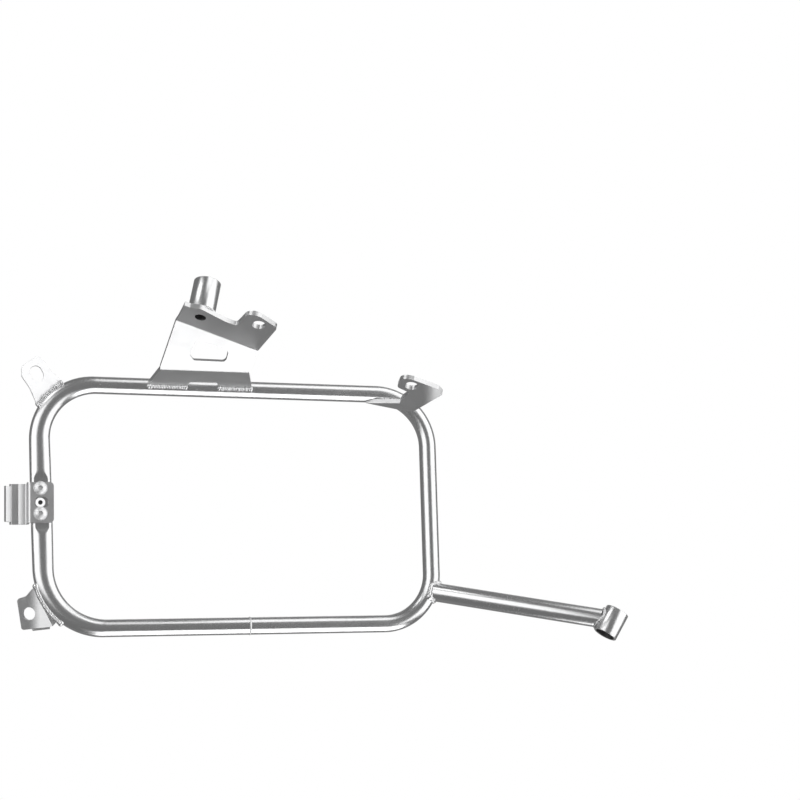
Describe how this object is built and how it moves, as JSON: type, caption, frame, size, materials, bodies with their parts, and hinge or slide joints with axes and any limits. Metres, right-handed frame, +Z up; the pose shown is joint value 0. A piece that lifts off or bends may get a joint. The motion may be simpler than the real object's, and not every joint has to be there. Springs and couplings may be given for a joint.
{
  "type": "motorbike pannier frame",
  "caption": "Bent steel tube hoop for carrying a motorbike side case, with a folded top bracket, a corner plate, tabs, a clip and a lower stay.",
  "frame": {"origin": "centre of the bush at the end of the lower stay", "axes": "+X towards the front of the bike, +Y away from the bike and square to the hoop, +Z up with the bottom rail level"},
  "size_m": [0.6276, 0.1435, 0.374],
  "materials": {
    "tube_steel": "satin",
    "plate_steel": "satin",
    "weld_bead": "rippled satin",
    "clip_steel": "satin",
    "screw_steel": "bright"
  },
  "bodies": {
    "root": {"hoop_tube": "tube_steel", "hoop_butt_weld": "weld_bead", "top_bracket": "plate_steel", "bracket_weld_rear": "weld_bead", "bracket_weld_front": "weld_bead", "spacer_tube": "tube_steel", "spacer_weld": "weld_bead", "corner_plate": "plate_steel", "corner_plate_weld": "weld_bead", "upper_tab": "plate_steel", "upper_tab_weld": "weld_bead", "lower_tab": "plate_steel", "lower_tab_weld": "weld_bead", "clip_plate": "clip_steel", "clip_screws": "screw_steel", "clip_rivet": "screw_steel", "stay_tube": "tube_steel", "stay_root_weld": "weld_bead", "stay_bush": "tube_steel", "stay_bush_weld": "weld_bead"}
  },
  "joints": []
}
